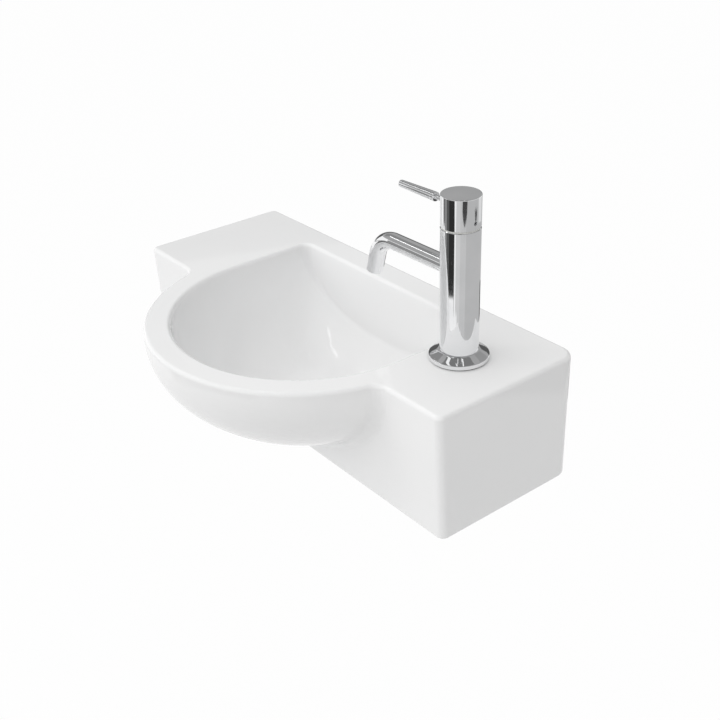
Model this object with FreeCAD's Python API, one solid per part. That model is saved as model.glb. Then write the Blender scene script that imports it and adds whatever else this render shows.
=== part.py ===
import FreeCAD, Part
import math
import os
from FreeCAD import Vector

# Wall-hung ceramic washbasin with a cold-water pillar tap and a grid waste, in millimetres.
# +Z is up, +Y points to the wall, +X is to the right seen from the front.
# The origin lies on the wall face, midway between the two wall-fixing holes.

# Ceramic block and dish
LEFT_DECK = 103.0            # from the left end to the bowl edge
RIGHT_DECK = 93.0            # from the bowl edge to the right end, carries the tap
BOWL_HALF_WIDTH = 127.0
BLOCK_DEPTH = 158.0
PROJECTION = 272.0           # from the wall to the front of the dish
FRONT_RIM = 25.0             # width of the rim at the front of the dish
BACK_RIM = 30.0              # width of the rim behind the bowl
RIM_ABOVE_FIXINGS = 60.0
DISH_BELLY = 10.0            # the dish is widest this far below its rim
FRONT_DRAFT = 4.0            # the block's front leans back by this much towards its foot
CORNER_RADIUS = 7.0          # upright corners of the block
BACK_RIGHT_RADIUS = 16.0     # the corner behind the tap is rounder
RIM_EDGE_RADIUS = 4.0
FOOT_EDGE_RADIUS = 2.0
DISH_BLEND_RADIUS = 14.0     # hollow corner between the dish and the block front

# Bowl
BOWL_DEPTH = 98.0
BOWL_BACK_DEPTH = 57.0       # the floor rises to this depth at the back wall
BOWL_FLOOR_RADIUS = 42.0     # flat floor round the drain
BOWL_BACK_FLOOR = 8.0        # half width of the floor at the back wall
FLAT_BEHIND_CENTRE = 24.0    # the floor starts to rise this far behind the centre of the dish
BOWL_BACK_LEAN = 8.0         # the back wall leans forwards by this much down to the drain's depth
BOWL_CORNER_RADIUS = 9.0     # back corners, and the crease along the foot of the back wall
LIP_UPRIGHT = 1.0            # upright wall between the rounded edge and the sloping walls
BOWL_SECTIONS = 5

# Walls of the casting
APRON = 12.0                 # the block reaches below the dish by this much
WALL = 12.0
DECK = 14.0
BACK_WALL = 14.0
BOWL_WALL = 9.0
DRAIN_BOSS_STEP = 1.0        # the round boss under the drain stands below the bowl's shell
BACK_WEB_HEIGHT = 46.0       # solid strip between the bowl and the wall face
POCKET_CORNER_RADIUS = 9.0

# Wall fixings
FIXING_INSET = 85.0          # from each end to a fixing hole
FIXING_RADIUS = 7.0

# Waste
WASTE_HOLE_RADIUS = 22.5
WASTE_FLANGE_RADIUS = 31.5
WASTE_RECESS = 2.5
WASTE_RECESS_CLEARANCE = 1.0
GRID_THICKNESS = 2.5
GRID_CUP_RADIUS = 20.0
GRID_CUP_DEPTH = 7.0
GRID_HOLE_RADIUS = 3.4
GRID_HOLES = 8
GRID_HOLE_CIRCLE = 13.2
TOP_SEAL_THICKNESS = 1.5
BOTTOM_SEAL_THICKNESS = 2.5
SEAL_LAP = 0.5               # a seal stays this far inside the flange above or below it
TAIL_FLANGE_RADIUS = 27.0
TAIL_FLANGE_THICKNESS = 4.0
TAIL_THREAD_RADIUS = 20.955
TAIL_BORE_RADIUS = 17.5
TAIL_LENGTH = 20.0           # threaded outlet below the flange
TAIL_SPIGOT_CLEARANCE = 1.2
TAIL_ROOM = 2.0              # free space round the tail flange
BRIDGE_WIDTH = 7.0
BRIDGE_HEIGHT = 6.0
BRIDGE_HUB_RADIUS = 6.5
BRIDGE_GAP = 1.0             # between the grid's cup and the bridge
WASTE_SCREW_RADIUS = 3.0
WASTE_SCREW_HEAD_RADIUS = 5.5
WASTE_SCREW_HEAD = 2.6
SCREW_SLOT_WIDTH = 1.2
SCREW_SLOT_DEPTH = 1.3

# Tap, heights above the deck
COLUMN_RADIUS = 16.5
COLUMN_TOP = 117.5
FLANGE_RADIUS = 25.5
FLANGE_EDGE = 4.7
FLANGE_TOP = 9.2
FLANGE_TO_BOWL = 1.0         # flat rim left between the flange and the bowl's rounded edge
BASE_SEAL_THICKNESS = 1.0
BASE_SEAL_INSET = 1.0
COLUMN_SPIGOT_RADIUS = 13.5
STILL_FIT = 0.1              # radial clearance between pieces that don't turn
TURNING_FIT = 0.08           # radial clearance of the turning spindle
FACE_GAP = 0.1               # between flat faces that turn on each other
EDGE_BREAK = 0.5

# Inlet and clamping under the deck
TAP_HOLE_RADIUS = 17.0
SHANK_RADIUS = 10.4775
SHANK_RELIEF = 0.25          # the shank is turned down above its free end
SHANK_BORE_RADIUS = 6.0
SHANK_IN_COLUMN = 14.0
SHANK_FREE_LENGTH = 18.0
WASHER_RADIUS = 20.0
RUBBER_WASHER_THICKNESS = 3.0
STEEL_WASHER_THICKNESS = 1.5
LOCK_NUT_FLATS = 30.0
LOCK_NUT_HEIGHT = 8.5

# Spout
SPOUT_RADIUS = 7.5
SPOUT_WALL = 1.0
SPOUT_HEIGHT = 79.0
SPOUT_RUN = 81.0             # from the tap axis to the start of the bend
SPOUT_BEND_RADIUS = 25.0
SPOUT_BEND_DEGREES = 74.0
SPOUT_END = 18.0
SPOUT_RING_RADIUS = 0.5      # thickness of the o-ring, as a radius
AERATOR_RECESS = 0.8
AERATOR_RING_LENGTH = 3.0
AERATOR_RING_WALL = 1.2
AERATOR_LENGTH = 7.0
AERATOR_HOLE_RADIUS = 0.75
AERATOR_HOLE_PITCH = 2.2

# Cartridge
CHAMBER_RADIUS = 12.0
SEAT_HEIGHT = 66.0
SEAT_SEAL_THICKNESS = 2.5
SEAT_SEAL_RADIUS = 9.5
SEAT_SEAL_HOLE = 5.5
CARTRIDGE_SKIRT_RADIUS = 10.0
CARTRIDGE_THREAD_LENGTH = 14.0
CARTRIDGE_HEX_FLATS = 20.0
CARTRIDGE_HEX_HEIGHT = 6.0
CARTRIDGE_BELOW_TOP = 1.5    # the hexagon ends this far below the column's top
DISC_ROOM_RADIUS = 7.6
DISC_ROOM_HEIGHT = 21.0
DISC_THICKNESS = 3.0
DRIVE_THICKNESS = 3.0
DISC_PORT_INNER = 3.0
DISC_PORT_OUTER = 6.2
DISC_PORT_DEGREES = 75.0
WINDOW_WIDTH = 9.0
WINDOW_HEIGHT = 8.0
SPINDLE_RADIUS = 4.5
SPINDLE_RING_RADIUS = 0.8
SPINDLE_RING_PITCH = 5.0
CIRCLIP_RADIUS = 6.6
CIRCLIP_THICKNESS = 0.8
CIRCLIP_GROOVE = 0.7

# Handle
SLIP_RING_THICKNESS = 0.8
SLIP_RING_SETBACK = 0.6
HANDLE_HEIGHT = 26.6
HANDLE_ROOF = 7.0            # solid metal above the spindle
HANDLE_TOP_RADIUS = 0.8
LEVER_BELOW_TOP = 11.0       # from the cap's top to the lever's axis
LEVER_STUD_RADIUS = 2.0
LEVER_STUD_DEPTH = 7.5       # of the stud in the cap
LEVER_STUD_GRIP = 15.0       # of the stud in the sleeve
LEVER_START = 29.0           # from the tap axis
LEVER_END = 72.5
LEVER_ROOT_RADIUS = 3.95
LEVER_TIP_RADIUS = 3.1
LEVER_TIP_ROUND = 1.0
GRUB_RADIUS = 1.5
GRUB_ABOVE_JOINT = 6.0
GRUB_RECESS = 3.0
GRUB_FLAT = 0.6              # depth of the flat on the spindle
GRUB_SOCKET_FLATS = 1.5
GRUB_SOCKET_DEPTH = 1.4

# Worked-out places
REACH_PAST = 5.0             # cutting tools run past a face by this much
RIM_Z = RIM_ABOVE_FIXINGS
BASIN_WIDTH = LEFT_DECK + 2 * BOWL_HALF_WIDTH + RIGHT_DECK
BOWL_X = LEFT_DECK + BOWL_HALF_WIDTH - BASIN_WIDTH / 2
DISH_RADIUS = BOWL_HALF_WIDTH + FRONT_RIM
DISH_Y = DISH_RADIUS - PROJECTION
DISH_DEPTH = BOWL_DEPTH + BOWL_WALL + DRAIN_BOSS_STEP
BLOCK_HEIGHT = DISH_DEPTH + APRON
BOWL_LIP = RIM_EDGE_RADIUS + LIP_UPRIGHT
TAP_X = BOWL_X + BOWL_HALF_WIDTH + RIM_EDGE_RADIUS + FLANGE_TO_BOWL + FLANGE_RADIUS
TAP_Y = -BLOCK_DEPTH / 2
FIXING_X = BASIN_WIDTH / 2 - FIXING_INSET

UP = Vector(0, 0, 1)


def ring(outer, inner, low, high):
    """A tube about the local Z axis."""
    tube = Part.makeCylinder(outer, high - low, Vector(0, 0, low))
    return tube.cut(Part.makeCylinder(inner, high - low, Vector(0, 0, low)))


def rod(radius, start, end):
    """A round bar from one point to another."""
    axis = end - start
    return Part.makeCylinder(radius, axis.Length, start, axis)


def turned(points):
    """A solid turned about the local Z axis from (radius, height) points."""
    corners = [Vector(radius, 0, height) for radius, height in points]
    profile = Part.Face(Part.makePolygon(corners + corners[:1]))
    return profile.revolve(Vector(), UP, 360)


def hexagon(flats, low, high):
    """A hexagonal bar about the local Z axis, measured across its flats."""
    reach = flats / math.sqrt(3)
    corners = [Vector(reach * math.cos(k * math.pi / 3), reach * math.sin(k * math.pi / 3), low)
               for k in range(6)]
    return Part.Face(Part.makePolygon(corners + corners[:1])).extrude(Vector(0, 0, high - low))


def round_edges(shape, radius, height):
    """Rounds the edges of a shape that lie at one height."""
    picked = [edge for edge in shape.Edges
              if abs(edge.BoundBox.ZMin - height) < 1e-4 and abs(edge.BoundBox.ZMax - height) < 1e-4]
    return shape.makeFillet(radius, picked)


def rectangle(left, right, front, back, height):
    """A closed rectangular wire at one height."""
    corners = [Vector(left, front, height), Vector(right, front, height),
               Vector(right, back, height), Vector(left, back, height)]
    return Part.makePolygon(corners + corners[:1])


def at_tap(shape):
    """Moves a piece from the tap's own axis to its place on the deck."""
    return shape.translated(Vector(TAP_X, TAP_Y, RIM_Z))


def at_drain(shape):
    """Moves a piece from the drain's own axis, heights from the rim, to its place in the bowl."""
    return shape.translated(Vector(BOWL_X, DISH_Y, RIM_Z))


def block():
    """The rectangular block, its front leaning back towards its foot."""
    half = BASIN_WIDTH / 2
    foot = rectangle(-half, half, FRONT_DRAFT - BLOCK_DEPTH, 0, RIM_Z - BLOCK_HEIGHT)
    top = rectangle(-half, half, -BLOCK_DEPTH, 0, RIM_Z)
    return Part.makeLoft([foot, top], True, True)


def dish():
    """The round dish: an elliptic side from rim to pole, turned in front, straight into the block."""
    hub = Vector(BOWL_X, DISH_Y, RIM_Z)
    centre = hub - Vector(0, 0, DISH_BELLY)
    pole = hub - Vector(0, 0, DISH_DEPTH)
    rise = -math.asin(DISH_BELLY / (DISH_DEPTH - DISH_BELLY))
    ellipse = Part.Ellipse(centre + Vector(DISH_RADIUS, 0, 0), pole, centre)
    side = Part.ArcOfEllipse(ellipse, rise, math.pi / 2).toBSpline().toShape()
    rim = ellipse.value(rise)
    edges = [Part.LineSegment(hub, rim).toShape(), side, Part.LineSegment(pole, hub).toShape()]
    right = Part.Face(Part.Wire(edges))
    left = right.mirror(hub, Vector(1, 0, 0))
    inwards = Vector(0, -BACK_WALL - DISH_Y, 0)
    front = right.revolve(hub, UP, -180)
    return front.fuse([right.extrude(inwards), left.extrude(inwards)]).removeSplitter()


def bowl_half(rise, grow, along):
    """Edges of the right half of the bowl's cross-section, from the rim to the middle of the floor.

    An upright lip, a quarter of an ellipse and the floor. The rise goes from 0 at the drain to 1 at the
    back wall, and the section is grown outwards by a wall.
    """
    half = BOWL_HALF_WIDTH + grow
    floor = BOWL_FLOOR_RADIUS + (BOWL_BACK_FLOOR - BOWL_FLOOR_RADIUS) * rise
    low = RIM_Z - BOWL_DEPTH + (BOWL_DEPTH - BOWL_BACK_DEPTH) * rise - grow
    rim, lip, corner, foot, middle = [
        Vector(BOWL_X + across, along, height) for across, height in
        ((half, RIM_Z), (half, RIM_Z - BOWL_LIP), (half, low), (floor, low), (0, low))]
    wall = Part.BezierCurve()
    wall.setPoles([lip, corner, foot])
    wall.setWeight(2, math.sqrt(0.5))
    return [Part.LineSegment(rim, lip).toShape(), wall.toShape(), Part.LineSegment(foot, middle).toShape()]


def bowl_section(rise, grow, along):
    """The closed outline of the bowl's cross-section at one distance from the wall."""
    right = bowl_half(rise, grow, along)
    left = [edge.mirror(Vector(BOWL_X, 0, 0), Vector(1, 0, 0)) for edge in right]
    rim = Part.LineSegment(left[0].Vertexes[0].Point, right[0].Vertexes[0].Point).toShape()
    return Part.Wire(Part.__sortEdges__(right + left + [rim]))


def bowl(grow):
    """The bowl as a solid: half turned, then straight, then rising to the leaning back wall."""
    hub = Vector(BOWL_X, DISH_Y, RIM_Z)
    half = bowl_half(0, grow, DISH_Y)
    top = Part.LineSegment(hub, half[0].Vertexes[0].Point).toShape()
    axis = Part.LineSegment(half[-1].Vertexes[-1].Point, hub).toShape()
    front = Part.Face(Part.Wire([top] + half + [axis])).revolve(hub, UP, -180)
    straight = Part.Face(bowl_section(0, grow, DISH_Y)).extrude(Vector(0, FLAT_BEHIND_CENTRE, 0))
    back_y = grow - BACK_RIM
    climb = back_y - DISH_Y - FLAT_BEHIND_CENTRE
    stretch = 1 + REACH_PAST / climb
    shares = [stretch * k / (BOWL_SECTIONS - 1) for k in range(BOWL_SECTIONS)]
    rising = Part.makeLoft([bowl_section(share ** 2, grow, back_y + (share - 1) * climb)
                            for share in shares], True, False)
    lean = BOWL_BACK_LEAN * (1 + REACH_PAST / BOWL_DEPTH)
    behind = [Vector(-BASIN_WIDTH, back_y + lean - BOWL_BACK_LEAN, RIM_Z + REACH_PAST),
              Vector(-BASIN_WIDTH, back_y - lean, RIM_Z - BOWL_DEPTH - REACH_PAST),
              Vector(-BASIN_WIDTH, back_y + BLOCK_DEPTH, RIM_Z - BOWL_DEPTH - REACH_PAST),
              Vector(-BASIN_WIDTH, back_y + BLOCK_DEPTH, RIM_Z + REACH_PAST)]
    wedge = Part.Face(Part.makePolygon(behind + behind[:1])).extrude(Vector(2 * BASIN_WIDTH, 0, 0))
    return front.fuse([straight, rising]).removeSplitter().cut(wedge)


def is_bowl_crease(edge):
    """True for an edge between the bowl's back wall and its sides or floor."""
    box = edge.BoundBox
    return box.YMin > -BACK_RIM - BOWL_BACK_LEAN - 1 and box.ZMin < RIM_Z - 1


def drain_boss():
    """The thick round floor that carries the waste."""
    return at_drain(Part.makeCylinder(BOWL_FLOOR_RADIUS, DISH_DEPTH, Vector(0, 0, -DISH_DEPTH)))


def pockets():
    """The hollow of the casting: the inside of the block without the bowl's shell, boss and web."""
    half = BASIN_WIDTH / 2 - WALL
    front = WALL - BLOCK_DEPTH
    foot = rectangle(-half, half, front + FRONT_DRAFT, -BACK_WALL, RIM_Z - BLOCK_HEIGHT)
    top = rectangle(-half, half, front, -BACK_WALL, RIM_Z - DECK)
    hollow = Part.makeLoft([foot, top], True, True)
    upright = [edge for edge in hollow.Edges if edge.BoundBox.ZLength > BLOCK_HEIGHT / 2]
    hollow = hollow.makeFillet(POCKET_CORNER_RADIUS, upright)
    web_half = BOWL_HALF_WIDTH + BOWL_WALL
    web = Part.makeBox(2 * web_half, BACK_RIM + BOWL_WALL, BACK_WEB_HEIGHT,
                       Vector(BOWL_X - web_half, -BACK_RIM - BOWL_WALL, RIM_Z - BACK_WEB_HEIGHT))
    tail_room = at_drain(Part.makeCylinder(TAIL_FLANGE_RADIUS + TAIL_ROOM, BOWL_DEPTH,
                                           Vector(0, 0, -BLOCK_HEIGHT - REACH_PAST)))
    return hollow.fuse(tail_room).cut([bowl(BOWL_WALL), drain_boss(), web])


def basin_body():
    """The ceramic casting."""
    outside = block().fuse(dish()).removeSplitter()
    outside = outside.makeFillet(dish_blend(), [edge for edge in outside.Edges if is_dish_joint(edge)])
    outside = outside.makeFillet(BACK_RIGHT_RADIUS, [edge for edge in outside.Edges
                                                     if is_upright(edge) and is_behind_tap(edge)])
    outside = outside.makeFillet(CORNER_RADIUS, [edge for edge in outside.Edges if is_upright(edge)
                                                 and edge.BoundBox.XLength < 1e-3
                                                 and not is_behind_tap(edge)])
    outside = round_edges(outside, FOOT_EDGE_RADIUS, RIM_Z - BLOCK_HEIGHT)
    hollow = bowl(0)
    hollow = hollow.makeFillet(BOWL_CORNER_RADIUS, [edge for edge in hollow.Edges if is_bowl_crease(edge)])
    body = round_edges(outside.cut(hollow), RIM_EDGE_RADIUS, RIM_Z)
    body = body.cut(pockets())
    tap_hole = at_tap(Part.makeCylinder(TAP_HOLE_RADIUS, DECK + 2 * REACH_PAST,
                                        Vector(0, 0, -DECK - REACH_PAST)))
    waste_hole = at_drain(Part.makeCylinder(WASTE_HOLE_RADIUS, BLOCK_HEIGHT, Vector(0, 0, -BLOCK_HEIGHT)))
    recess = at_drain(Part.makeCylinder(WASTE_FLANGE_RADIUS + WASTE_RECESS_CLEARANCE,
                                        WASTE_RECESS + REACH_PAST,
                                        Vector(0, 0, -BOWL_DEPTH - WASTE_RECESS)))
    fixings = [rod(FIXING_RADIUS, Vector(side * FIXING_X, REACH_PAST, 0),
                   Vector(side * FIXING_X, -BACK_WALL - REACH_PAST, 0)) for side in (-1, 1)]
    return body.cut([tap_hole, waste_hole, recess] + fixings)


def dish_blend():
    """Radius of the hollow corner round the dish, limited by the apron left below it."""
    share = max(0, BLOCK_DEPTH - FRONT_DRAFT + DISH_Y) / DISH_RADIUS
    height = math.sqrt(1 - share ** 2)
    drop = DISH_DEPTH - DISH_BELLY
    slope = math.atan(drop / DISH_RADIUS * share / height)
    room = BLOCK_HEIGHT - FOOT_EDGE_RADIUS - DISH_BELLY - drop * height
    return min(DISH_BLEND_RADIUS, room / math.tan(math.pi / 4 - slope / 2))


def is_upright(edge):
    """True for an edge as tall as the block."""
    return edge.BoundBox.ZLength > BLOCK_HEIGHT - 1e-3


def is_behind_tap(edge):
    """True for an edge at the back right corner of the block, sharp or already rounded."""
    box = edge.BoundBox
    return box.XMin > BASIN_WIDTH / 2 - BACK_RIGHT_RADIUS - 1 and box.YMin > -BACK_RIGHT_RADIUS - 1


def is_dish_joint(edge):
    """True for an edge where the dish leaves the front of the block."""
    box = edge.BoundBox
    inside = abs(box.Center.x - BOWL_X) < DISH_RADIUS + 1 and box.ZLength > 1
    return inside and box.YMax < FRONT_DRAFT - BLOCK_DEPTH + 1 and box.YMin > -BLOCK_DEPTH - 1


def waste_grid():
    """Grid plate: flat flange, a cup that dips into the hole, drain holes in the cup's floor."""
    seat = TOP_SEAL_THICKNESS - BOWL_DEPTH - WASTE_RECESS
    top = seat + GRID_THICKNESS
    floor = top - GRID_CUP_DEPTH
    plate = turned([(0, floor), (GRID_CUP_RADIUS, floor), (GRID_CUP_RADIUS, seat),
                    (WASTE_FLANGE_RADIUS, seat), (WASTE_FLANGE_RADIUS, top - EDGE_BREAK),
                    (WASTE_FLANGE_RADIUS - EDGE_BREAK, top),
                    (GRID_CUP_RADIUS - GRID_THICKNESS / 2, top),
                    (GRID_CUP_RADIUS - GRID_THICKNESS, floor + GRID_THICKNESS), (0, floor + GRID_THICKNESS)])
    below = Vector(0, 0, floor - REACH_PAST)
    height = GRID_CUP_DEPTH + 2 * REACH_PAST
    holes = [Part.makeCylinder(WASTE_SCREW_RADIUS + STILL_FIT, height, below)]
    for k in range(GRID_HOLES):
        turn = 2 * math.pi * k / GRID_HOLES
        spot = Vector(GRID_HOLE_CIRCLE * math.cos(turn), GRID_HOLE_CIRCLE * math.sin(turn), 0)
        holes.append(Part.makeCylinder(GRID_HOLE_RADIUS, height, below + spot))
    return at_drain(plate.cut(holes))


def grid_cup_floor():
    """Height of the underside of the grid's cup, from the rim."""
    return TOP_SEAL_THICKNESS - BOWL_DEPTH - WASTE_RECESS + GRID_THICKNESS - GRID_CUP_DEPTH


def waste_tail_top():
    """Height of the top face of the tail's flange, from the rim."""
    return -DISH_DEPTH - BOTTOM_SEAL_THICKNESS


def waste_tail():
    """Lower half of the waste: spigot with a bridge, clamping flange and threaded outlet."""
    spigot_top = grid_cup_floor() - BRIDGE_GAP
    flange_top = waste_tail_top()
    flange_low = flange_top - TAIL_FLANGE_THICKNESS
    spigot_radius = WASTE_HOLE_RADIUS - TAIL_SPIGOT_CLEARANCE
    end = flange_low - TAIL_LENGTH
    shell = turned([(TAIL_BORE_RADIUS, end), (TAIL_THREAD_RADIUS - EDGE_BREAK, end),
                    (TAIL_THREAD_RADIUS, end + EDGE_BREAK), (TAIL_THREAD_RADIUS, flange_low),
                    (TAIL_FLANGE_RADIUS, flange_low), (TAIL_FLANGE_RADIUS, flange_top),
                    (spigot_radius, flange_top), (spigot_radius, spigot_top),
                    (TAIL_BORE_RADIUS, spigot_top)])
    bar = Part.makeBox(2 * TAIL_BORE_RADIUS + EDGE_BREAK, BRIDGE_WIDTH, BRIDGE_HEIGHT,
                       Vector(-TAIL_BORE_RADIUS - EDGE_BREAK / 2, -BRIDGE_WIDTH / 2,
                              spigot_top - BRIDGE_HEIGHT))
    hub = Part.makeCylinder(BRIDGE_HUB_RADIUS, BRIDGE_HEIGHT, Vector(0, 0, spigot_top - BRIDGE_HEIGHT))
    thread = Part.makeCylinder(WASTE_SCREW_RADIUS + STILL_FIT, 2 * BRIDGE_HEIGHT,
                               Vector(0, 0, spigot_top - 1.5 * BRIDGE_HEIGHT))
    return at_drain(shell.fuse([bar, hub]).removeSplitter().cut(thread))


def waste_screw():
    """Slotted screw from the grid into the bridge."""
    head_low = grid_cup_floor() + GRID_THICKNESS
    head_top = head_low + WASTE_SCREW_HEAD
    end = grid_cup_floor() - BRIDGE_GAP - BRIDGE_HEIGHT
    screw = turned([(0, end), (WASTE_SCREW_RADIUS, end), (WASTE_SCREW_RADIUS, head_low),
                    (WASTE_SCREW_HEAD_RADIUS, head_low),
                    (WASTE_SCREW_HEAD_RADIUS, head_top - EDGE_BREAK),
                    (WASTE_SCREW_HEAD_RADIUS - EDGE_BREAK, head_top), (0, head_top)])
    slot = Part.makeBox(3 * WASTE_SCREW_HEAD_RADIUS, SCREW_SLOT_WIDTH, 2 * SCREW_SLOT_DEPTH,
                        Vector(-1.5 * WASTE_SCREW_HEAD_RADIUS, -SCREW_SLOT_WIDTH / 2,
                               head_top - SCREW_SLOT_DEPTH))
    return at_drain(screw.cut(slot))


def waste_top_seal():
    """Rubber ring in the recess under the grid's flange."""
    seat = -BOWL_DEPTH - WASTE_RECESS
    return at_drain(ring(WASTE_FLANGE_RADIUS - SEAL_LAP, WASTE_HOLE_RADIUS + SEAL_LAP,
                         seat, seat + TOP_SEAL_THICKNESS))


def waste_bottom_seal():
    """Rubber ring between the ceramic and the tail's flange."""
    return at_drain(ring(TAIL_FLANGE_RADIUS - SEAL_LAP, WASTE_HOLE_RADIUS + SEAL_LAP,
                         waste_tail_top(), -DISH_DEPTH))


def tap_column():
    """Chromed column: spigot in the flange, waterway, cartridge chamber and spout hole."""
    low = BASE_SEAL_THICKNESS
    column = turned([(0, low), (COLUMN_SPIGOT_RADIUS, low), (COLUMN_SPIGOT_RADIUS, FLANGE_TOP),
                     (COLUMN_RADIUS, FLANGE_TOP), (COLUMN_RADIUS, COLUMN_TOP - EDGE_BREAK),
                     (COLUMN_RADIUS - EDGE_BREAK, COLUMN_TOP), (0, COLUMN_TOP)])
    chamber = Part.makeCylinder(CHAMBER_RADIUS, COLUMN_TOP, Vector(0, 0, SEAT_HEIGHT))
    waterway = Part.makeCylinder(SHANK_BORE_RADIUS, SEAT_HEIGHT, Vector(0, 0, low))
    socket = Part.makeCylinder(shank_stem_radius() + STILL_FIT, SHANK_IN_COLUMN)
    spout_hole = rod(SPOUT_RADIUS + STILL_FIT, Vector(0, 0, SPOUT_HEIGHT),
                     Vector(-2 * COLUMN_RADIUS, 0, SPOUT_HEIGHT))
    middle = spout_ring_place()
    groove = rod(SPOUT_RADIUS + STILL_FIT + 2 * SPOUT_RING_RADIUS,
                 Vector(middle - 2 * SPOUT_RING_RADIUS, 0, SPOUT_HEIGHT),
                 Vector(middle + 2 * SPOUT_RING_RADIUS, 0, SPOUT_HEIGHT))
    return at_tap(column.cut([chamber, waterway, socket, spout_hole, groove]))


def spout_ring_place():
    """Distance of the spout's o-ring from the tap axis: the middle of the column's wall."""
    return -(COLUMN_RADIUS + CHAMBER_RADIUS) / 2


def tap_base_flange():
    """Conical cover flange between the column and the deck."""
    low = BASE_SEAL_THICKNESS
    bore = COLUMN_SPIGOT_RADIUS + STILL_FIT
    return at_tap(turned([(bore, low), (FLANGE_RADIUS, low), (FLANGE_RADIUS, FLANGE_EDGE - EDGE_BREAK),
                          (FLANGE_RADIUS - EDGE_BREAK, FLANGE_EDGE), (COLUMN_RADIUS, FLANGE_TOP),
                          (bore, FLANGE_TOP)]))


def tap_base_seal():
    """Rubber ring between the flange and the deck."""
    return at_tap(ring(FLANGE_RADIUS - BASE_SEAL_INSET, TAP_HOLE_RADIUS + BASE_SEAL_INSET,
                       0, BASE_SEAL_THICKNESS))


def shank_stem_radius():
    """Radius of the shank in the column, the deck and the nut."""
    return SHANK_RADIUS - SHANK_RELIEF


def shank_end():
    """Height of the shank's lower end, from the deck."""
    return -DECK - RUBBER_WASHER_THICKNESS - STEEL_WASHER_THICKNESS - LOCK_NUT_HEIGHT - SHANK_FREE_LENGTH


def tap_shank():
    """Threaded tube from the column down through the deck."""
    end = shank_end()
    free_top = end + SHANK_FREE_LENGTH
    stem = shank_stem_radius()
    return at_tap(turned([(SHANK_BORE_RADIUS, end), (SHANK_RADIUS - EDGE_BREAK, end),
                          (SHANK_RADIUS, end + EDGE_BREAK), (SHANK_RADIUS, free_top), (stem, free_top),
                          (stem, SHANK_IN_COLUMN), (SHANK_BORE_RADIUS, SHANK_IN_COLUMN)]))


def tap_rubber_washer():
    """Rubber washer under the deck."""
    return at_tap(ring(WASHER_RADIUS, SHANK_RADIUS + STILL_FIT, -DECK - RUBBER_WASHER_THICKNESS, -DECK))


def tap_steel_washer():
    """Steel washer under the rubber one."""
    top = -DECK - RUBBER_WASHER_THICKNESS
    return at_tap(ring(WASHER_RADIUS, SHANK_RADIUS + STILL_FIT, top - STEEL_WASHER_THICKNESS, top))


def tap_lock_nut():
    """Hexagonal nut that clamps the tap to the deck."""
    top = -DECK - RUBBER_WASHER_THICKNESS - STEEL_WASHER_THICKNESS
    low = top - LOCK_NUT_HEIGHT
    thread = Part.makeCylinder(SHANK_RADIUS + STILL_FIT, LOCK_NUT_HEIGHT, Vector(0, 0, low))
    return at_tap(hexagon(LOCK_NUT_FLATS, low, top).cut(thread))


def spout_path():
    """Start, bend and end points of the spout's centre line, with the direction at its end."""
    bend = math.radians(SPOUT_BEND_DEGREES)
    hub = Vector(-SPOUT_RUN, 0, SPOUT_HEIGHT - SPOUT_BEND_RADIUS)
    start = Vector(-CHAMBER_RADIUS, 0, SPOUT_HEIGHT)
    turn = Vector(-SPOUT_RUN, 0, SPOUT_HEIGHT)
    half_way = hub + Vector(-math.sin(bend / 2), 0, math.cos(bend / 2)) * SPOUT_BEND_RADIUS
    leave = hub + Vector(-math.sin(bend), 0, math.cos(bend)) * SPOUT_BEND_RADIUS
    heading = Vector(-math.cos(bend), 0, -math.sin(bend))
    return start, turn, half_way, leave, leave + heading * SPOUT_END, heading


def swept(radius):
    """A round bar along the spout's centre line."""
    start, turn, half_way, leave, end, heading = spout_path()
    path = Part.Wire([Part.LineSegment(start, turn).toShape(), Part.Arc(turn, half_way, leave).toShape(),
                      Part.LineSegment(leave, end).toShape()])
    mouth = Part.Wire([Part.Circle(start, Vector(-1, 0, 0), radius).toShape()])
    return path.makePipeShell([mouth], True, False)


def spout_tube():
    """Bent chrome tube, open at both ends."""
    return at_tap(swept(SPOUT_RADIUS).cut(swept(SPOUT_RADIUS - SPOUT_WALL)))


def spout_o_ring():
    """Seal round the spout, in the column's wall."""
    return at_tap(Part.makeTorus(SPOUT_RADIUS + STILL_FIT + SPOUT_RING_RADIUS, SPOUT_RING_RADIUS,
                                 Vector(spout_ring_place(), 0, SPOUT_HEIGHT), Vector(1, 0, 0)))


def aerator_ring():
    """Screw ring just inside the spout's mouth."""
    end, heading = spout_path()[-2:]
    outer = SPOUT_RADIUS - SPOUT_WALL - STILL_FIT
    low = end - heading * AERATOR_RECESS
    high = low - heading * AERATOR_RING_LENGTH
    return at_tap(rod(outer, low, high).cut(rod(outer - AERATOR_RING_WALL, low, high)))


def aerator_insert():
    """Flow straightener above the ring, with a honeycomb of small holes."""
    end, heading = spout_path()[-2:]
    low = end - heading * (AERATOR_RECESS + AERATOR_RING_LENGTH)
    high = low - heading * AERATOR_LENGTH
    across = Vector(0, 1, 0)
    along = heading.cross(across)
    holes = []
    for ring_number in range(3):
        count = max(1, 6 * ring_number)
        for k in range(count):
            turn = 2 * math.pi * k / count
            spot = (across * math.cos(turn) + along * math.sin(turn)) * (AERATOR_HOLE_PITCH * ring_number)
            holes.append(rod(AERATOR_HOLE_RADIUS, low + spot, high + spot))
    return at_tap(rod(SPOUT_RADIUS - SPOUT_WALL - STILL_FIT, low, high).cut(holes))


def disc_floor():
    """Height of the fixed disc's lower face, from the deck."""
    return SEAT_HEIGHT + SEAT_SEAL_THICKNESS


def cartridge_seat_seal():
    """Rubber ring between the cartridge and its seat in the column."""
    return at_tap(ring(SEAT_SEAL_RADIUS, SEAT_SEAL_HOLE, SEAT_HEIGHT, disc_floor()))


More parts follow.
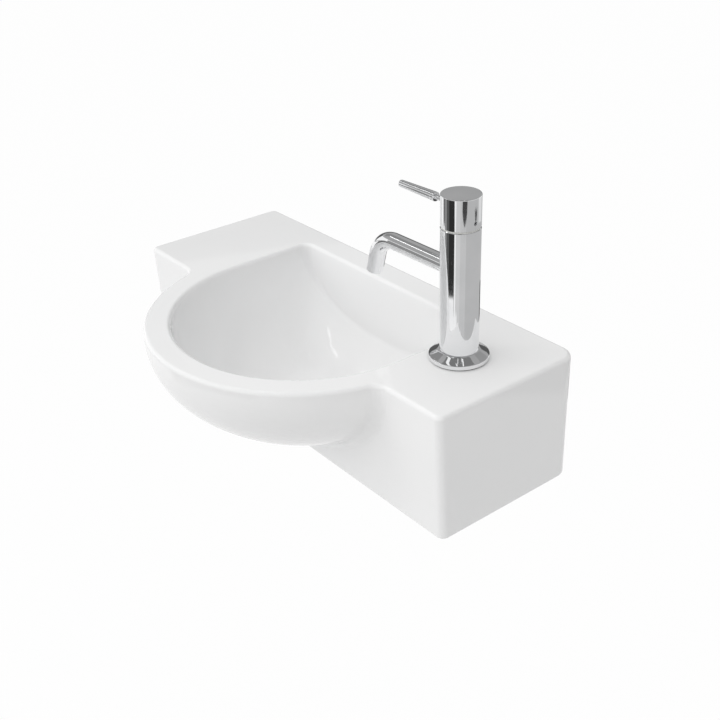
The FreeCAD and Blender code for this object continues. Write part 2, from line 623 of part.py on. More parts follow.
def cartridge_body():
    """Brass cartridge: skirt with two windows, threaded neck and hexagon."""
    low = disc_floor()
    top = COLUMN_TOP - CARTRIDGE_BELOW_TOP
    hex_low = top - CARTRIDGE_HEX_HEIGHT
    thread_low = hex_low - CARTRIDGE_THREAD_LENGTH
    skirt = turned([(0, low), (CARTRIDGE_SKIRT_RADIUS, low), (CARTRIDGE_SKIRT_RADIUS, thread_low),
                    (CHAMBER_RADIUS - STILL_FIT, thread_low), (CHAMBER_RADIUS - STILL_FIT, hex_low),
                    (0, hex_low)])
    body = skirt.fuse(hexagon(CARTRIDGE_HEX_FLATS, hex_low, top)).removeSplitter()
    room = Part.makeCylinder(DISC_ROOM_RADIUS, DISC_ROOM_HEIGHT, Vector(0, 0, low))
    bore = Part.makeCylinder(SPINDLE_RADIUS + TURNING_FIT, top - low, Vector(0, 0, low))
    window_low = low + 2 * DISC_THICKNESS + DRIVE_THICKNESS
    window = Part.makeBox(4 * CARTRIDGE_SKIRT_RADIUS, WINDOW_WIDTH, WINDOW_HEIGHT,
                          Vector(-2 * CARTRIDGE_SKIRT_RADIUS, -WINDOW_WIDTH / 2, window_low))
    return at_tap(body.cut([room, bore, window]))


def disc_ports(low, high):
    """Two opposite sector openings, as cutting tools."""
    start = ring(DISC_PORT_OUTER, DISC_PORT_INNER, low, high)
    spread = math.radians(DISC_PORT_DEGREES / 2)
    reach = 2 * DISC_PORT_OUTER
    wedge_points = [Vector(0, 0, low), Vector(reach * math.cos(spread), -reach * math.sin(spread), low),
                    Vector(reach * math.cos(spread), reach * math.sin(spread), low)]
    wedge = Part.Face(Part.makePolygon(wedge_points + wedge_points[:1])).extrude(Vector(0, 0, high - low))
    port = start.common(wedge)
    return [port, port.rotated(Vector(), UP, 180)]


def fixed_disc():
    """Ceramic disc that stays still, with two ports."""
    low = disc_floor()
    disc = Part.makeCylinder(DISC_ROOM_RADIUS - STILL_FIT, DISC_THICKNESS, Vector(0, 0, low))
    return at_tap(disc.cut(disc_ports(low, low + DISC_THICKNESS)))


def moving_disc_low():
    """Height of the turning disc's lower face, from the deck."""
    return disc_floor() + DISC_THICKNESS + FACE_GAP


def moving_disc():
    """Ceramic disc that turns with the spindle. Shut at rest, its ports lie across those below."""
    low = moving_disc_low()
    disc = Part.makeCylinder(DISC_ROOM_RADIUS - STILL_FIT, DISC_THICKNESS, Vector(0, 0, low))
    ports = [port.rotated(Vector(), UP, 90) for port in disc_ports(low, low + DISC_THICKNESS)]
    return at_tap(disc.cut(ports))


def spindle_top():
    """Height of the spindle's top, from the deck."""
    return handle_low() + HANDLE_HEIGHT - HANDLE_ROOF


def ring_heights():
    """Heights of the two spindle o-rings, in the cartridge's threaded neck."""
    first = disc_floor() + DISC_ROOM_HEIGHT + SPINDLE_RING_PITCH
    return [first, first + SPINDLE_RING_PITCH]


def spindle():
    """Brass spindle with a drive plate, two ring grooves, a clip groove and a flat for the grub screw."""
    low = moving_disc_low() + DISC_THICKNESS
    plate_top = low + DRIVE_THICKNESS
    plate = Part.makeCylinder(DISC_ROOM_RADIUS - STILL_FIT, DRIVE_THICKNESS, Vector(0, 0, low))
    ports = [port.rotated(Vector(), UP, 90) for port in disc_ports(low, plate_top)]
    stem = Part.makeCylinder(SPINDLE_RADIUS, spindle_top() - plate_top, Vector(0, 0, plate_top))
    grooves = [ring(SPINDLE_RADIUS + REACH_PAST, SPINDLE_RADIUS - 2 * SPINDLE_RING_RADIUS,
                    height - SPINDLE_RING_RADIUS - STILL_FIT, height + SPINDLE_RING_RADIUS + STILL_FIT)
               for height in ring_heights()]
    clip_low = circlip_low()
    grooves.append(ring(SPINDLE_RADIUS + REACH_PAST, SPINDLE_RADIUS - CIRCLIP_GROOVE,
                        clip_low, clip_low + CIRCLIP_THICKNESS))
    screw = grub_height()
    flat = Part.makeBox(SPINDLE_RADIUS, 2 * SPINDLE_RADIUS, 4 * GRUB_RADIUS,
                        Vector(SPINDLE_RADIUS - GRUB_FLAT, -SPINDLE_RADIUS, screw - 2 * GRUB_RADIUS))
    return at_tap(plate.cut(ports).fuse(stem).removeSplitter().cut(grooves + [flat]))


def spindle_o_rings():
    """Two rubber rings in the spindle's grooves."""
    centre = SPINDLE_RADIUS - SPINDLE_RING_RADIUS
    rings = [Part.makeTorus(centre, SPINDLE_RING_RADIUS, Vector(0, 0, height)) for height in ring_heights()]
    return at_tap(Part.makeCompound(rings))


def circlip_low():
    """Height of the clip's lower face, just above the cartridge's hexagon."""
    return COLUMN_TOP - CARTRIDGE_BELOW_TOP + FACE_GAP


def spindle_circlip():
    """Open spring clip that keeps the spindle in the cartridge."""
    low = circlip_low()
    clip = ring(CIRCLIP_RADIUS, SPINDLE_RADIUS - CIRCLIP_GROOVE, low, low + CIRCLIP_THICKNESS)
    gap = Part.makeBox(2 * CIRCLIP_RADIUS, SPINDLE_RADIUS, CIRCLIP_THICKNESS,
                       Vector(0, -SPINDLE_RADIUS / 2, low))
    return at_tap(clip.cut(gap))


def slip_ring():
    """Thin plastic ring that the handle turns on."""
    return at_tap(ring(COLUMN_RADIUS - SLIP_RING_SETBACK, CHAMBER_RADIUS + STILL_FIT,
                       COLUMN_TOP, COLUMN_TOP + SLIP_RING_THICKNESS))


def handle_low():
    """Height of the handle's lower face, from the deck."""
    return COLUMN_TOP + SLIP_RING_THICKNESS + FACE_GAP


def grub_height():
    """Height of the grub screw's axis, from the deck."""
    return handle_low() + GRUB_ABOVE_JOINT


def lever_height():
    """Height of the lever's axis, from the deck."""
    return handle_low() + HANDLE_HEIGHT - LEVER_BELOW_TOP


def handle_cap():
    """Solid cap on the spindle, with the lever's hole to the left and the grub screw's to the right."""
    low = handle_low()
    top = low + HANDLE_HEIGHT
    cap = turned([(0, low), (COLUMN_RADIUS - EDGE_BREAK, low), (COLUMN_RADIUS, low + EDGE_BREAK),
                  (COLUMN_RADIUS, top), (0, top)])
    cap = round_edges(cap, HANDLE_TOP_RADIUS, top)
    bore = Part.makeCylinder(SPINDLE_RADIUS + STILL_FIT, spindle_top() - low, Vector(0, 0, low))
    lever = lever_height()
    stud_hole = rod(LEVER_STUD_RADIUS + STILL_FIT, Vector(LEVER_STUD_DEPTH - COLUMN_RADIUS, 0, lever),
                    Vector(-2 * COLUMN_RADIUS, 0, lever))
    screw_hole = rod(GRUB_RADIUS + STILL_FIT, Vector(0, 0, grub_height()),
                     Vector(2 * COLUMN_RADIUS, 0, grub_height()))
    return at_tap(cap.cut([bore, stud_hole, screw_hole]))


def lever_stud():
    """Thin stud between the cap and the lever's sleeve."""
    lever = lever_height()
    return at_tap(rod(LEVER_STUD_RADIUS, Vector(LEVER_STUD_DEPTH - COLUMN_RADIUS, 0, lever),
                      Vector(-LEVER_START - LEVER_STUD_GRIP, 0, lever)))


def lever_sleeve():
    """Tapered sleeve on the stud, rounded at its tip."""
    length = LEVER_END - LEVER_START
    sleeve = turned([(0, 0), (LEVER_ROOT_RADIUS - EDGE_BREAK, 0), (LEVER_ROOT_RADIUS, EDGE_BREAK),
                     (LEVER_TIP_RADIUS, length), (0, length)])
    sleeve = round_edges(sleeve, LEVER_TIP_ROUND, length)
    bore = Part.makeCylinder(LEVER_STUD_RADIUS + STILL_FIT, LEVER_STUD_GRIP)
    sleeve = sleeve.cut(bore).rotated(Vector(), Vector(0, 1, 0), -90)
    return at_tap(sleeve.translated(Vector(-LEVER_START, 0, lever_height())))


def grub_screw():
    """Small socket screw that clamps the cap on the spindle's flat."""
    start = SPINDLE_RADIUS - GRUB_FLAT
    length = COLUMN_RADIUS - GRUB_RECESS - start
    screw = Part.makeCylinder(GRUB_RADIUS, length)
    socket = hexagon(GRUB_SOCKET_FLATS, length - GRUB_SOCKET_DEPTH, length)
    screw = screw.cut(socket).rotated(Vector(), Vector(0, 1, 0), 90)
    return at_tap(screw.translated(Vector(start, 0, grub_height())))


PIECES = [basin_body, waste_grid, waste_screw, waste_top_seal, waste_bottom_seal, waste_tail,
          tap_column, tap_base_flange, tap_base_seal, tap_shank, tap_rubber_washer, tap_steel_washer,
          tap_lock_nut, spout_tube, spout_o_ring, aerator_ring, aerator_insert, slip_ring,
          cartridge_seat_seal, cartridge_body, fixed_disc, moving_disc, spindle, spindle_o_rings,
          spindle_circlip, handle_cap, lever_stud, lever_sleeve, grub_screw]

os.makedirs("parts", exist_ok=True)
for piece in PIECES:
    shape = piece()
    shape.exportStep(os.path.join("parts", piece.__name__ + ".step"))
    print(piece.__name__, len(shape.Solids), "solid", round(shape.Volume), "mm3", shape.isValid())
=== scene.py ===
import logging
import math
from dataclasses import dataclass, field
from enum import Enum

import bpy
from mathutils import Matrix, Quaternion, Vector


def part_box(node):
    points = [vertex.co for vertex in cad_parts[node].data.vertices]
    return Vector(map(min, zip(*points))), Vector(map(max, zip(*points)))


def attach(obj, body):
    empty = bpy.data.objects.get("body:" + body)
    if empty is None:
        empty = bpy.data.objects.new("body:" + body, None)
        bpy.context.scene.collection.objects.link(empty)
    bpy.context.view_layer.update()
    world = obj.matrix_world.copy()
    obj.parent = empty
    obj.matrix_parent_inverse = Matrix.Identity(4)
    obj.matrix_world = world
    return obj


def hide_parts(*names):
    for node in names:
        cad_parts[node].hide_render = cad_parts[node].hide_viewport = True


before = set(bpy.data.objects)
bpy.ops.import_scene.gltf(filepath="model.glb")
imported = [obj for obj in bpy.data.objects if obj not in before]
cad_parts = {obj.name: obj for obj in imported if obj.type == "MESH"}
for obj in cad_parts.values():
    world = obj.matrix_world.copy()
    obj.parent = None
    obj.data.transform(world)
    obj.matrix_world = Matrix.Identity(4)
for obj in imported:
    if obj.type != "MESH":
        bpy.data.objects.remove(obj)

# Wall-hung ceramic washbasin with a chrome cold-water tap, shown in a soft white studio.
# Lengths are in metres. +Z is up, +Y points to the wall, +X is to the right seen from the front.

LOG = logging.getLogger("washbasin")
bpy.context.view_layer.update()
MM = 0.001

# Points round a turned piece, and the distance within which two points become one.
RING_POINTS = 96
WELD = 0.002 * MM

# Noise seldom leaves this range, so this much of it is spread over a finish.
PATTERN_LOW = 0.3
PATTERN_HIGH = 0.7

# Places of a Mix node's first input, second input and output, by the kind of value.
MIX_SOCKETS = {"RGBA": (6, 7, 2), "FLOAT": (2, 3, 0)}

# A grain is its cells per metre and its number of finer layers. A relief is its height in metres
# and the share of it that shows. A profile is the radius and height of each ring.
Colour = tuple[float, float, float]
Stretch = tuple[float, float, float]
Grain = tuple[float, float]
Relief = tuple[float, float]
Profile = list[tuple[float, float]]


def at(x: float, y: float, z: float) -> Vector:
    """A dataclass field that starts as a point or a direction."""
    return field(default_factory=lambda: Vector((x, y, z)))


def tap_axis() -> Vector:
    """The point at height 0 on the tap's upright axis, from the flange's box."""
    low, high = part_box("tap_base_flange")
    return Vector(((low.x + high.x) / 2, (low.y + high.y) / 2, 0.0))


def opaque_grey(level: float) -> tuple[float, float, float, float]:
    """A grey as a colour socket takes it."""
    return (level, level, level, 1.0)


class Body(Enum):
    """The two bodies that pieces ride on."""

    BASIN = "basin"
    HANDLE = "handle"


class Slot(Enum):
    """The record's material slots."""

    GLAZE = "glaze"
    CHROME = "chrome"
    BRASS = "brass"
    RUBBER = "rubber"
    STEEL = "steel"
    NYLON = "nylon"
    ALUMINA = "alumina"


class Recipe:
    """A surface's node tree, filled in step by step on Object coordinates."""

    def __init__(self, name: str) -> None:
        """Starts a material with an empty surface.

        Args:
            name: The material's name.
        """
        self.material = bpy.data.materials.new(name)
        self.material.use_nodes = True
        self.tree = self.material.node_tree
        self.surface = self.tree.nodes["Principled BSDF"]
        self.place = self.tree.nodes.new("ShaderNodeTexCoord").outputs["Object"]

    def join(self, source: bpy.types.NodeSocket, target: bpy.types.NodeSocket) -> None:
        """Links one socket to another."""
        self.tree.links.new(source, target)

    def stretched(self, factors: Stretch) -> bpy.types.NodeSocket:
        """Object coordinates multiplied along each axis, so that a pattern becomes streaks.

        Args:
            factors: How many times finer the pattern is along X, Y and Z.

        Returns:
            The vector socket.
        """
        mapping = self.tree.nodes.new("ShaderNodeMapping")
        mapping.inputs["Scale"].default_value = factors
        self.join(self.place, mapping.inputs["Vector"])
        return mapping.outputs["Vector"]

    def noise(self, grain: Grain,
              place: bpy.types.NodeSocket | None = None) -> bpy.types.NodeSocket:
        """A soft mottle.

        Args:
            grain: Its cells per metre and number of finer layers.
            place: Coordinates, or the object's own where none are given.

        Returns:
            The value socket, from 0 to 1.
        """
        node = self.tree.nodes.new("ShaderNodeTexNoise")
        node.inputs["Scale"].default_value, node.inputs["Detail"].default_value = grain
        self.join(place or self.place, node.inputs["Vector"])
        return node.outputs["Fac"]

    def turned_rings(self, scale: float, wander: float = 1.5,
                     detail: float = 2.0) -> bpy.types.NodeSocket:
        """Fine rings along Z, as a lathe tool leaves them.

        Args:
            scale: Fineness: there are about 3.2 times as many rings per metre.
            wander: How far the rings stray.
            detail: Number of finer layers.

        Returns:
            The value socket, from 0 to 1.
        """
        node = self.tree.nodes.new("ShaderNodeTexWave")
        node.bands_direction = "Z"
        node.inputs["Scale"].default_value = scale
        node.inputs["Distortion"].default_value = wander
        node.inputs["Detail"].default_value = detail
        self.join(self.place, node.inputs["Vector"])
        return node.outputs["Fac"]

    def ranged(self, value: bpy.types.NodeSocket, low: float,
               high: float) -> bpy.types.NodeSocket:
        """Spreads a pattern between two values.

        Args:
            value: The pattern.
            low: Result where the pattern is dark.
            high: Result where the pattern is light.

        Returns:
            The value socket.
        """
        node = self.tree.nodes.new("ShaderNodeMapRange")
        node.inputs["From Min"].default_value = PATTERN_LOW
        node.inputs["From Max"].default_value = PATTERN_HIGH
        node.inputs["To Min"].default_value = low
        node.inputs["To Max"].default_value = high
        self.join(value, node.inputs["Value"])
        return node.outputs["Result"]

    def tinted(self, value: bpy.types.NodeSocket, dark: Colour,
               light: Colour) -> bpy.types.NodeSocket:
        """Turns a pattern into a colour between two tints.

        Args:
            value: The pattern.
            dark: Colour where the pattern is low.
            light: Colour where the pattern is high.

        Returns:
            The colour socket.
        """
        node = self.tree.nodes.new("ShaderNodeValToRGB")
        ends = ((PATTERN_LOW, dark), (PATTERN_HIGH, light))
        for element, (position, tint) in zip(node.color_ramp.elements, ends):
            element.position = position
            element.color = (*tint, 1.0)
        self.join(value, node.inputs["Fac"])
        return node.outputs["Color"]

    def raised(self, pattern: bpy.types.NodeSocket, relief: Relief) -> None:
        """Raises the surface by a pattern.

        Args:
            pattern: The pattern.
            relief: Its height in metres and the share of it that shows.
        """
        node = self.tree.nodes.new("ShaderNodeBump")
        node.inputs["Distance"].default_value, node.inputs["Strength"].default_value = relief
        self.join(pattern, node.inputs["Height"])
        self.join(node.outputs["Normal"], self.surface.inputs["Normal"])

    def compared(self, axis: str, mode: str, limit: float) -> bpy.types.NodeSocket:
        """A mask of 1 on one side of a plane across an axis.

        Args:
            axis: X, Y or Z.
            mode: GREATER_THAN or LESS_THAN.
            limit: Place of the plane in metres.

        Returns:
            The value socket, 0 or 1.
        """
        split = self.tree.nodes.new("ShaderNodeSeparateXYZ")
        self.join(self.place, split.inputs["Vector"])
        return self.calculated(mode, split.outputs[axis], limit)

    def calculated(self, mode: str, first: bpy.types.NodeSocket,
                   second: bpy.types.NodeSocket | float) -> bpy.types.NodeSocket:
        """One step of arithmetic.

        Args:
            mode: The operation's name.
            first: A value socket.
            second: Another value socket or a number.

        Returns:
            The value socket.
        """
        node = self.tree.nodes.new("ShaderNodeMath")
        node.operation = mode
        self.join(first, node.inputs[0])
        if isinstance(second, float):
            node.inputs[1].default_value = second
        else:
            self.join(second, node.inputs[1])
        return node.outputs["Value"]

    def chosen(self, mask: bpy.types.NodeSocket, kind: str, off: bpy.types.NodeSocket,
               on: bpy.types.NodeSocket) -> bpy.types.NodeSocket:
        """Chooses between two patterns by a mask.

        Args:
            mask: 0 for the first pattern, 1 for the second.
            kind: RGBA or FLOAT.
            off: The first pattern.
            on: The second pattern.

        Returns:
            The chosen pattern's socket.
        """
        node = self.tree.nodes.new("ShaderNodeMix")
        node.data_type = kind
        first, second, result = MIX_SOCKETS[kind]
        self.join(mask, node.inputs[0])
        self.join(off, node.inputs[first])
        self.join(on, node.inputs[second])
        return node.outputs[result]


@dataclass(frozen=True)
class Finish:
    """What every finish has: a slot of the record, two tints, a range of gloss, and patterns."""

    slot: Slot
    dark: Colour
    light: Colour
    smooth: float
    rough: float
    metal: float = 0.0
    mottle: Grain = (35.0, 3.0)
    sheen: Grain = (90.0, 4.0)

    def painted(self) -> Recipe:
        """Starts the finish's material: mottled colour and uneven gloss.

        Returns:
            The recipe, for a finish to go on with.
        """
        recipe = Recipe(self.slot.value)
        recipe.surface.inputs["Metallic"].default_value = self.metal
        recipe.join(recipe.tinted(recipe.noise(self.mottle), self.dark, self.light),
                    recipe.surface.inputs["Base Color"])
        recipe.join(recipe.ranged(recipe.noise(self.sheen), self.smooth, self.rough),
                    recipe.surface.inputs["Roughness"])
        return recipe

    def material(self) -> bpy.types.Material:
        """Makes the material."""
        return self.painted().material


@dataclass(frozen=True)
class Glaze(Finish):
    """White glaze with a faint orange peel, and bare biscuit on the wall face and the foot."""

    slot: Slot = Slot.GLAZE
    dark: Colour = (0.905, 0.907, 0.909)
    light: Colour = (0.925, 0.925, 0.923)
    smooth: float = 0.03
    rough: float = 0.055
    mottle: Grain = (9.0, 2.0)
    sheen: Grain = (60.0, 3.0)
    peel: Grain = (70.0, 1.0)
    relief: Relief = (0.12 * MM, 0.12)
    biscuit_dark: Colour = (0.60, 0.57, 0.51)
    biscuit_light: Colour = (0.72, 0.69, 0.63)
    biscuit_smooth: float = 0.75
    biscuit_rough: float = 0.92
    biscuit_grit: Grain = (900.0, 3.0)
    bare_depth: float = 0.4 * MM

    def material(self) -> bpy.types.Material:
        """Makes the glaze and the biscuit.

        Returns:
            The material.
        """
        recipe = Recipe(self.slot.value)
        low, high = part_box("basin_body")
        bare = recipe.calculated(
            "MAXIMUM", recipe.compared("Y", "GREATER_THAN", high.y - self.bare_depth),
            recipe.compared("Z", "LESS_THAN", low.z + self.bare_depth))
        grit = recipe.noise(self.biscuit_grit)
        colour = recipe.chosen(
            bare, "RGBA", recipe.tinted(recipe.noise(self.mottle), self.dark, self.light),
            recipe.tinted(grit, self.biscuit_dark, self.biscuit_light))
        gloss = recipe.chosen(
            bare, "FLOAT", recipe.ranged(recipe.noise(self.sheen), self.smooth, self.rough),
            recipe.ranged(grit, self.biscuit_smooth, self.biscuit_rough))
        recipe.join(colour, recipe.surface.inputs["Base Color"])
        recipe.join(gloss, recipe.surface.inputs["Roughness"])
        recipe.raised(recipe.chosen(bare, "FLOAT", recipe.noise(self.peel), grit), self.relief)
        return recipe.material


@dataclass(frozen=True)
class Chrome(Finish):
    """Polished chrome plate with a trace of dried water."""

    slot: Slot = Slot.CHROME
    dark: Colour = (0.84, 0.85, 0.86)
    light: Colour = (0.92, 0.92, 0.93)
    smooth: float = 0.025
    rough: float = 0.07
    metal: float = 1.0


@dataclass(frozen=True)
class Brass(Finish):
    """Turned, unplated brass with tool rings."""

    slot: Slot = Slot.BRASS
    dark: Colour = (0.58, 0.42, 0.19)
    light: Colour = (0.76, 0.60, 0.32)
    smooth: float = 0.22
    rough: float = 0.38
    metal: float = 1.0
    rings: float = 900.0
    relief: Relief = (0.05 * MM, 0.35)

    def material(self) -> bpy.types.Material:
        """Makes the metal and its rings.

        Returns:
            The material.
        """
        recipe = self.painted()
        recipe.raised(recipe.turned_rings(self.rings), self.relief)
        return recipe.material


@dataclass(frozen=True, kw_only=True)
class Grained(Finish):
    """A finish with a fine relief: a grain, or marks where the grain is stretched."""

    grain: Grain
    relief: Relief
    stretch: Stretch | None = None

    def material(self) -> bpy.types.Material:
        """Makes the colour and the gloss, and raises the grain.

        Returns:
            The material.
        """
        recipe = self.painted()
        place = recipe.stretched(self.stretch) if self.stretch else None
        recipe.raised(recipe.noise(self.grain, place), self.relief)
        return recipe.material


@dataclass(frozen=True)
class Rubber(Grained):
    """Black moulded rubber, matt and slightly dusty."""

    slot: Slot = Slot.RUBBER
    dark: Colour = (0.022, 0.022, 0.024)
    light: Colour = (0.06, 0.06, 0.062)
    smooth: float = 0.55
    rough: float = 0.8
    grain: Grain = (2500.0, 2.0)
    relief: Relief = (0.05 * MM, 0.4)


@dataclass(frozen=True)
class Steel(Grained):
    """Stainless steel, brushed across."""

    slot: Slot = Slot.STEEL
    dark: Colour = (0.44, 0.44, 0.45)
    light: Colour = (0.64, 0.64, 0.65)
    smooth: float = 0.22
    rough: float = 0.36
    metal: float = 1.0
    grain: Grain = (300.0, 3.0)
    relief: Relief = (0.03 * MM, 0.4)
    stretch: Stretch | None = (0.2, 8.0, 8.0)


@dataclass(frozen=True)
class Nylon(Grained):
    """Off-white moulded nylon with a spark-eroded grain."""

    slot: Slot = Slot.NYLON
    dark: Colour = (0.66, 0.66, 0.63)
    light: Colour = (0.78, 0.78, 0.75)
    smooth: float = 0.38
    rough: float = 0.55
    grain: Grain = (1800.0, 2.0)
    relief: Relief = (0.03 * MM, 0.3)


@dataclass(frozen=True)
class Alumina(Grained):
    """Cream ceramic of the valve discs, with lapping marks."""

    slot: Slot = Slot.ALUMINA
    dark: Colour = (0.74, 0.71, 0.64)
    light: Colour = (0.86, 0.84, 0.78)
    smooth: float = 0.10
    rough: float = 0.22
    grain: Grain = (1500.0, 3.0)
    relief: Relief = (0.02 * MM, 0.25)
    stretch: Stretch | None = (1.0, 6.0, 1.0)


@dataclass(frozen=True)
class Thread:
    """An outside thread on an upright tube, in metres.

    The edge is the chamfer at the tube's end. The flank is the ridge's width as a share of the
    pitch. The ridge is drawn out of a diamond, half of which lies inside the tube.
    """

    crest: float
    depth: float
    pitch: float
    low: float
    high: float
    edge: float = 0.5 * MM
    flank: float = 0.92
    corners: int = 4


class Bench:
    """Modelling steps that the sub-assemblies share."""

    def __init__(self) -> None:
        """Mixes every finish once."""
        finishes = (Glaze(), Chrome(), Brass(), Rubber(), Steel(), Nylon(), Alumina())
        self.looks = {finish.slot: finish.material() for finish in finishes}

    def alone(self, piece: bpy.types.Object) -> None:
        """Makes a piece the only selected and active one.

        Args:
            piece: The piece to work on.
        """
        bpy.ops.object.select_all(action="DESELECT")
        piece.select_set(True)
        bpy.context.view_layer.objects.active = piece

    def applied(self, piece: bpy.types.Object, modifier: bpy.types.Modifier) -> None:
        """Applies a modifier to its piece."""
        self.alone(piece)
        bpy.ops.object.modifier_apply(modifier=modifier.name)

    def softened(self, piece: bpy.types.Object, width: float, segments: int = 3,
                 degrees: float = 28.0) -> None:
        """Rounds the sharp edges of a piece.

        Args:
            piece: The piece.
            width: Width of the rounding in metres.
            segments: Facets of the rounding.
            degrees: Edges sharper than this are rounded.
        """
        edge = piece.modifiers.new("edge", "BEVEL")
        edge.width = width
        edge.segments = segments
        edge.limit_method = "ANGLE"
        edge.angle_limit = math.radians(degrees)
        self.applied(piece, edge)

    def shaded(self, piece: bpy.types.Object, degrees: float = 32.0, weight: int = 80) -> None:
        """Shades a piece smoothly across shallow edges, with flat faces kept flat.

        Args:
            piece: The piece.
            degrees: Edges sharper than this stay sharp.
            weight: How much more the large faces count, where 50 adds nothing.
        """
        self.alone(piece)
        bpy.ops.object.shade_smooth_by_angle(angle=math.radians(degrees))
        weigh = piece.modifiers.new("weigh", "WEIGHTED_NORMAL")
        weigh.keep_sharp = True
        weigh.weight = weight
        self.applied(piece, weigh)

    def placed(self, piece: bpy.types.Object, place: Vector, tilt: float = 0.0,
               turn: float = 0.0) -> None:
        """Turns and moves a piece, with its place in its mesh.

        Args:
            piece: The piece, modelled about its own Z axis.
            place: Where the piece's own origin goes.
            tilt: Turn about Y in radians.
            turn: Turn about Z in radians.
        """
        piece.location = place
        piece.rotation_euler = (0.0, tilt, turn)
        self.alone(piece)
        bpy.ops.object.transform_apply(location=True, rotation=True, scale=True)

    def merged(self, node: str) -> bpy.types.Object:
        """A joined-up copy of a CAD node, smooth where the solid is smooth.

        Args:
            node: The CAD node's name.

        Returns:
            The new piece.
        """
        piece = bpy.data.objects.new(node + "_skin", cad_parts[node].data.copy())
        bpy.context.scene.collection.objects.link(piece)
        self.alone(piece)
        bpy.ops.mesh.customdata_custom_splitnormals_clear()
        bpy.ops.object.mode_set(mode="EDIT")
        bpy.ops.mesh.select_all(action="SELECT")
        bpy.ops.mesh.remove_doubles(threshold=WELD)
        bpy.ops.object.mode_set(mode="OBJECT")
        self.shaded(piece)
        return piece

    def turned(self, name: str, rings: Profile) -> bpy.types.Object:
        """Turns a piece about the Z axis: a disc is drawn out ring by ring.

        Args:
            name: The piece's name.
            rings: Radius and height of each ring, in metres, from the first to the last.

        Returns:
            The new piece, closed at both ends.
        """
        bpy.ops.object.select_all(action="DESELECT")
        radius, height = rings[0]
        bpy.ops.mesh.primitive_circle_add(vertices=RING_POINTS, radius=radius, fill_type="NGON")
        piece = bpy.context.object
        piece.name = name
        bpy.ops.object.mode_set(mode="EDIT")
        bpy.ops.mesh.select_all(action="SELECT")
        bpy.ops.transform.translate(value=(0.0, 0.0, height))
        for next_radius, next_height in rings[1:]:
            growth = next_radius / radius
            rise = (0.0, 0.0, next_height - height)
            bpy.ops.mesh.extrude_region_move(TRANSFORM_OT_translate={"value": rise})
            bpy.ops.transform.resize(value=(growth, growth, 1.0),
                                     center_override=(0.0, 0.0, next_height))
            radius, height = next_radius, next_height
        bpy.ops.mesh.select_all(action="SELECT")
        bpy.ops.mesh.normals_make_consistent(inside=False)
        bpy.ops.object.mode_set(mode="OBJECT")
        return piece

    def narrowed(self, piece: bpy.types.Object, axis: Vector, thread: Thread,
                 slack: float = 0.02 * MM) -> None:
        """Turns the threaded stretch of a piece down to the thread's root.

        Args:
            piece: The piece.
            axis: A point on the upright axis.
            thread: The thread to make room for.
            slack: How far a point may lie from where it is looked for, in metres.
        """
        self.alone(piece)
        for radius in (thread.crest, thread.crest - thread.edge):
            for corner in piece.data.vertices:
                spread = (corner.co.xy - axis.xy).length
                level = thread.low - slack < corner.co.z < thread.high + slack
                corner.select = level and abs(spread - radius) < slack
            share = (thread.crest - thread.depth) / radius
            bpy.ops.object.mode_set(mode="EDIT")
            bpy.ops.mesh.select_mode(type="VERT")
            bpy.ops.transform.resize(value=(share, share, 1.0),
                                     center_override=(axis.x, axis.y, 0.0))
            bpy.ops.mesh.select_all(action="DESELECT")
            bpy.ops.object.mode_set(mode="OBJECT")

    def ridge(self, thread: Thread) -> bpy.types.Object:
        """A thread's helical ridge about the Z axis, from height 0, that runs out at both ends.

        Args:
            thread: The thread's size.

        Returns:
            The new piece.
        """
        bpy.ops.object.select_all(action="DESELECT")
        bpy.ops.mesh.primitive_circle_add(vertices=thread.corners, radius=thread.pitch / 2,
                                          rotation=(math.pi / 2, 0.0, 0.0))
        ridge = bpy.context.object
        bpy.ops.object.transform_apply(rotation=True)
        bpy.ops.object.mode_set(mode="EDIT")
        bpy.ops.mesh.select_all(action="SELECT")
        bpy.ops.transform.resize(value=(2 * thread.depth / thread.pitch, 1.0, thread.flank),
                                 center_override=(0.0, 0.0, 0.0))
        bpy.ops.transform.translate(value=(thread.crest - thread.depth, 0.0, thread.pitch / 2))
        bpy.ops.object.mode_set(mode="OBJECT")
        helix = ridge.modifiers.new("helix", "SCREW")
        helix.steps = RING_POINTS // 2
        helix.render_steps = RING_POINTS // 2
        helix.screw_offset = thread.pitch
        helix.iterations = math.floor((thread.high - thread.low) / thread.pitch) - 1
        self.applied(ridge, helix)
        bpy.ops.object.mode_set(mode="EDIT")
        bpy.ops.mesh.select_mode(type="VERT")
        bpy.ops.mesh.select_all(action="DESELECT")
        bpy.ops.mesh.select_non_manifold()
        bpy.ops.mesh.merge(type="COLLAPSE")
        bpy.ops.mesh.select_all(action="SELECT")
        bpy.ops.mesh.normals_make_consistent(inside=False)
        bpy.ops.object.mode_set(mode="OBJECT")
        return ridge

    def threaded(self, piece: bpy.types.Object, axis: Vector, thread: Thread) -> None:
        """Cuts an outside thread on a piece: a narrower core with a helical ridge.

        Args:
            piece: The piece.
            axis: A point on the upright axis.
            thread: The thread's size and place.
        """
        self.narrowed(piece, axis, thread)
        ridge = self.ridge(thread)
        self.placed(ridge, Vector((axis.x, axis.y, thread.low)))
        self.alone(piece)
        ridge.select_set(True)
        bpy.ops.object.join()
        self.shaded(piece)

